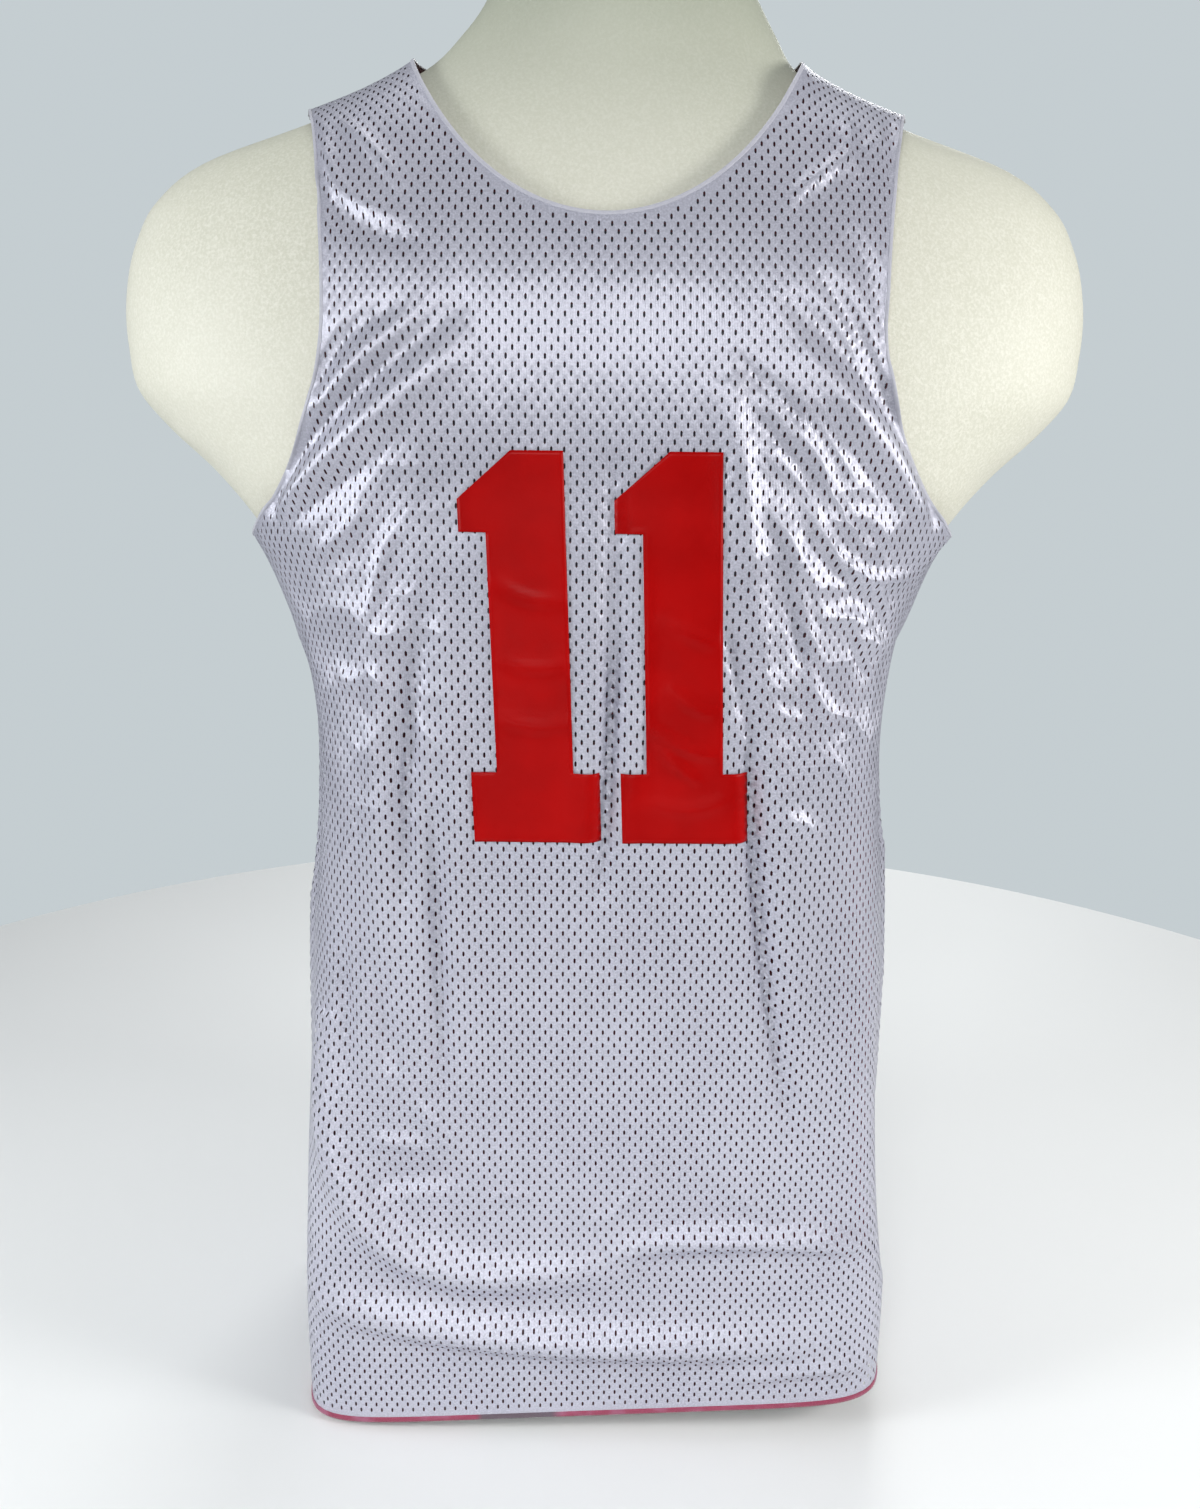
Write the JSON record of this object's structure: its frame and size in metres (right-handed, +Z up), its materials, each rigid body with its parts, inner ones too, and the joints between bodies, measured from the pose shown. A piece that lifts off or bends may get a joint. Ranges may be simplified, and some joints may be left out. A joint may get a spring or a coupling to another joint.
{
  "type": "basketball jersey on torso form",
  "caption": "Sleeveless two-layer mesh basketball jersey with block numerals on the chest, worn by a limbless cream torso form that stands on its flat base.",
  "frame": {"origin": "centre of the overall footprint, on the surface the form stands on", "axes": "+Z up the form towards its neck, +X to the wearer's left, the front of the jersey faces -Y"},
  "size_m": [0.531, 0.2463, 0.863],
  "materials": {
    "white_mesh": "satin",
    "red_mesh": "satin",
    "numeral_print": "semi-gloss",
    "form_shell": "satin"
  },
  "bodies": {
    "root": {"torso_form": "form_shell", "front_outer": "white_mesh", "back_outer": "white_mesh", "front_inner": "red_mesh", "back_inner": "red_mesh", "numeral_left": "numeral_print", "numeral_right": "numeral_print"}
  },
  "joints": []
}
